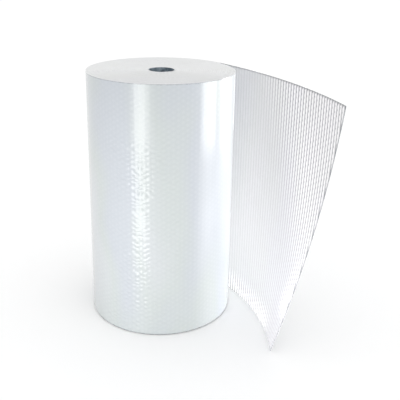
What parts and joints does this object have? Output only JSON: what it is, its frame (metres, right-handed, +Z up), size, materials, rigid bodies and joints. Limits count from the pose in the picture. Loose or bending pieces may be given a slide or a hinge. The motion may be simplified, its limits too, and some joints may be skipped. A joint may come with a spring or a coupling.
{
  "type": "bubble film roll",
  "caption": "Coreless roll of translucent air-bubble packing film stood on end, its loose end open and curling forward beside it.",
  "frame": {"origin": "on the roll's axis, at the lower end on which it stands", "axes": "+Z up along the roll's axis; the film leaves the roll at the back right, 34 degrees round from +X towards +Y, and its free end comes forward towards -Y on the +X side"},
  "size_m": [0.4283, 0.447, 0.5],
  "materials": {
    "bubble_film": "translucent low-density polyethylene film"
  },
  "bodies": {
    "root": {"bubble_film_roll": "bubble_film"}
  },
  "joints": []
}
